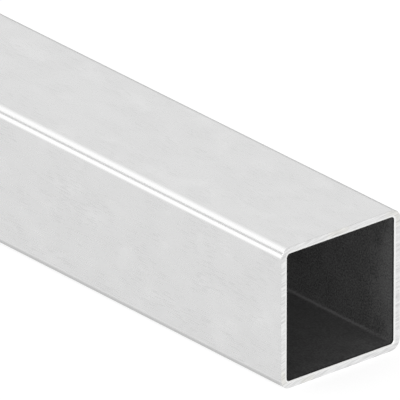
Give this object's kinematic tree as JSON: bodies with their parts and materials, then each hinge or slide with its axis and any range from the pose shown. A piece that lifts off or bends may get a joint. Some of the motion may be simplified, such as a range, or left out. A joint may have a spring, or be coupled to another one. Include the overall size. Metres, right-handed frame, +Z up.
{
  "type": "square metal tube",
  "caption": "Straight length of square steel tube with rounded corners, an open bore and sawn ends, used as framing stock.",
  "frame": {"origin": "middle of the tube's length and width, on the plane of its bottom face", "axes": "+X along the tube, +Y across it, +Z up from the bottom face"},
  "size_m": [1, 0.04, 0.04],
  "materials": {
    "square_tube": "bright cold-rolled steel, lightly brushed along its length"
  },
  "bodies": {
    "root": {"square_tube": "square_tube"}
  },
  "joints": []
}
